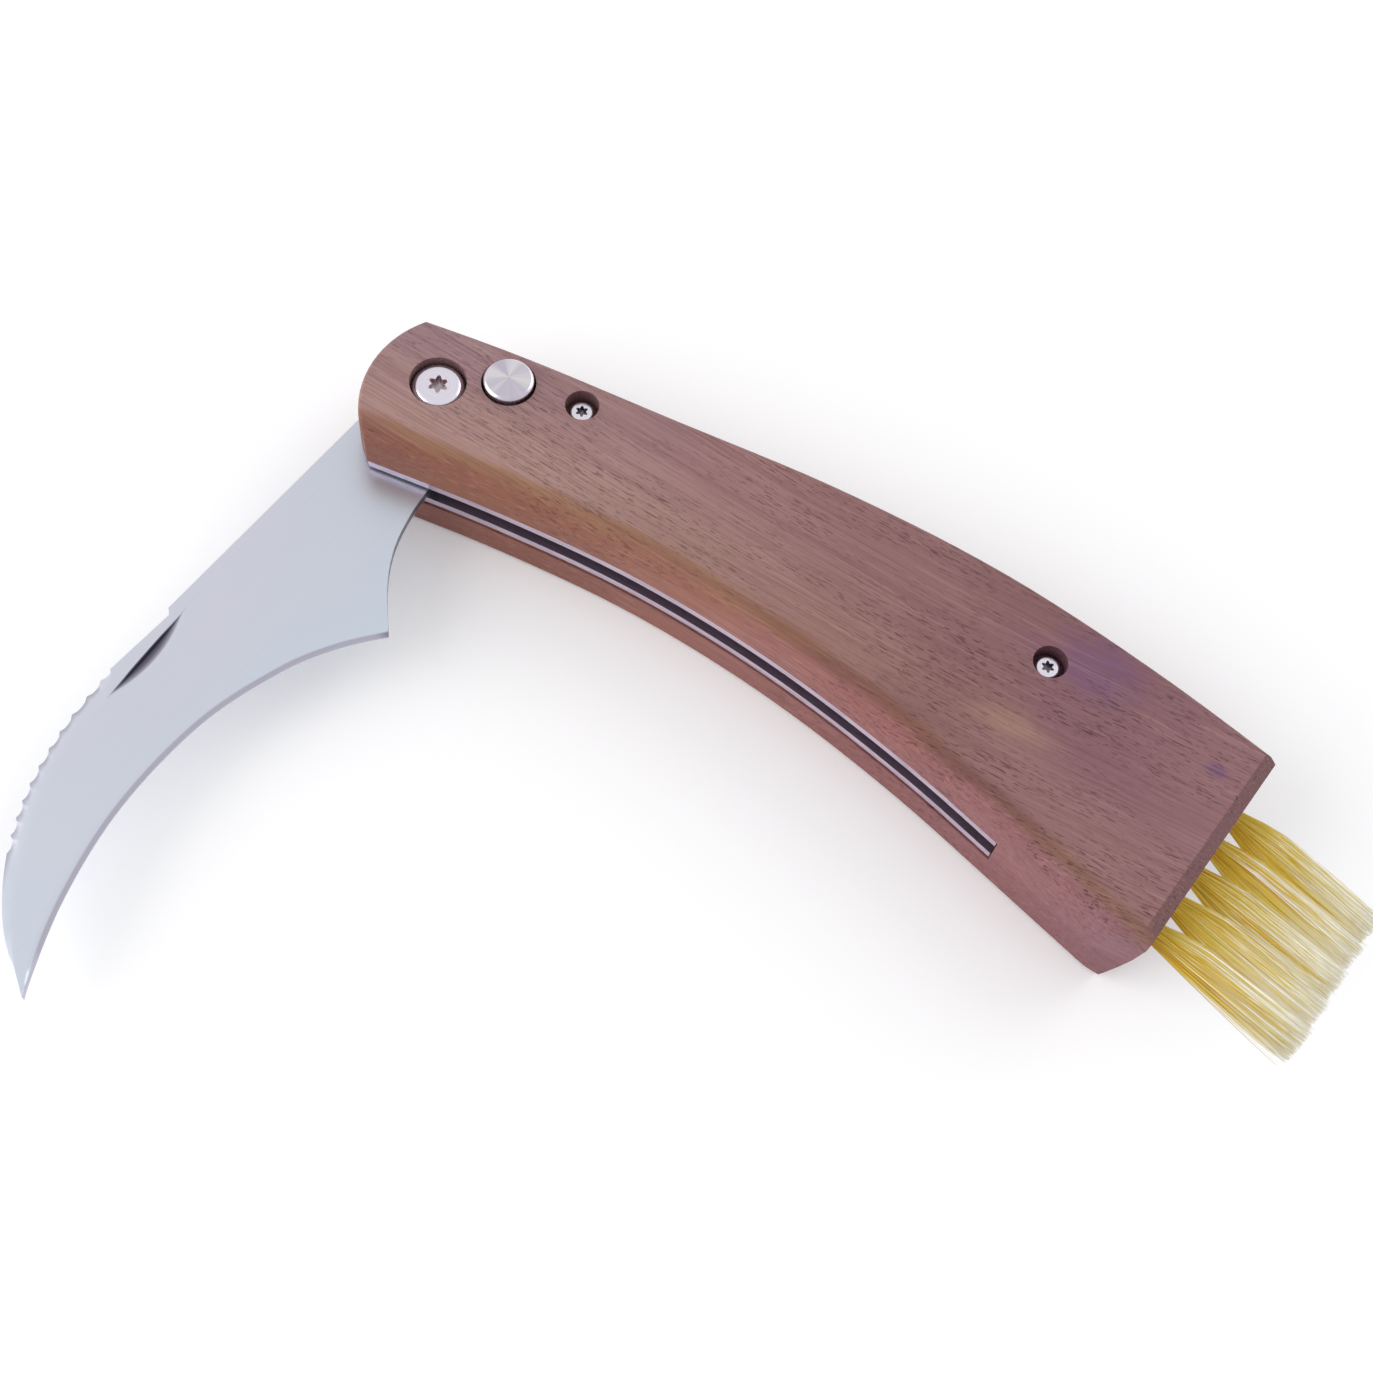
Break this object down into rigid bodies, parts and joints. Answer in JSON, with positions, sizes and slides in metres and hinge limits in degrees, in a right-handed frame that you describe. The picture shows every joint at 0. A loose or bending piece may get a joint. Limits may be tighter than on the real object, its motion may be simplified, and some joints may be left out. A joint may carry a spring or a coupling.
{
  "type": "folding mushroom knife",
  "caption": "Folding mushroom knife: hawkbill blade with serrated back, wooden handle, push-button lock and a bristle brush in the tail.",
  "frame": {"origin": "middle of the flat rear face of the handle, 60 mm tailwards of the pivot axis and 5 mm towards the spine", "axes": "+X along the handle from the pivot to the tail brush, +Z out of the front face (the button side) and parallel to the pivot axis, -Y towards the belly where the blade slot opens"},
  "size_m": [0.1573, 0.118, 0.0184],
  "materials": {
    "wood": "oiled, open pored",
    "blade_steel": "fine satin",
    "liner_steel": "satin",
    "bright_steel": "bright, turned",
    "brass": "plain",
    "bristle": "golden at the root, pale at the tip"
  },
  "bodies": {
    "handle": {"handle_body": "wood", "front_liner": "liner_steel", "rear_liner": "liner_steel", "pivot_screw": "bright_steel", "pivot_barrel": "bright_steel", "lock_spring": "bright_steel", "spring_cap": "bright_steel", "fore_screw_front": "bright_steel", "fore_screw_rear": "bright_steel", "aft_screw_front": "bright_steel", "aft_screw_rear": "bright_steel", "front_washer": "brass", "rear_washer": "brass", "fore_standoff": "brass", "aft_standoff": "brass", "tuft_anchor_1": "brass", "tuft_anchor_2": "brass", "tuft_anchor_3": "brass", "tuft_anchor_4": "brass", "tuft_anchor_5": "brass", "bristle_tuft_1": "bristle", "bristle_tuft_2": "bristle", "bristle_tuft_3": "bristle", "bristle_tuft_4": "bristle", "bristle_tuft_5": "bristle"},
    "blade": {"blade": "blade_steel"},
    "button": {"lock_button": "bright_steel", "lock_plunger": "bright_steel"}
  },
  "joints": [
    {"name": "blade_pivot", "type": "hinge", "parent": "handle", "child": "blade", "pos_m": [-0.06, -0.005, 0.0085], "axis": [0, 0, 1], "range_deg": [-73, 84]},
    {"name": "button_press", "type": "slide", "parent": "handle", "child": "button", "axis": [0, 0, -1], "range_m": [0, 0.001], "stiffness_N_per_m": 400, "springref_m": -0.0039, "deforming": ["lock_spring"]}
  ]
}
